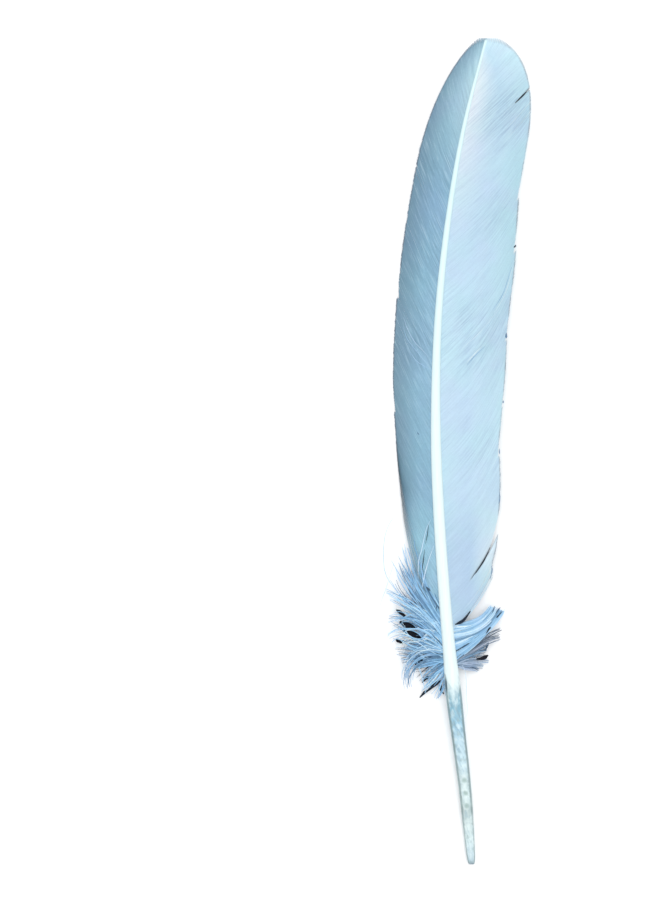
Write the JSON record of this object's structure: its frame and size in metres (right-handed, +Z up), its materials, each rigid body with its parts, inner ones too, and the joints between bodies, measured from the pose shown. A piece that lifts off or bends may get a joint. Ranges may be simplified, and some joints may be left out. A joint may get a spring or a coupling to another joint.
{
  "type": "turkey feather",
  "caption": "Pale blue turkey wing quill lying upper side up: tapered calamus, bowed rachis, narrow left vane, wide right vane with splits, and loose down at the foot of the vanes.",
  "frame": {"origin": "middle of the feather's box in X and Y, at the height of the surface that it lies on", "axes": "+Y along the feather from the calamus end to the vane tip, +X towards the wide vane, +Z up, with the feather's upper side up"},
  "size_m": [0.0536, 0.3, 0.0098],
  "materials": {
    "vane": "soft satin, pale blue-white",
    "shaft": "smooth, slightly glossy, white to translucent",
    "down": "matt and fluffy, pale blue-white"
  },
  "bodies": {
    "root": {"feather": "vane"}
  },
  "joints": []
}
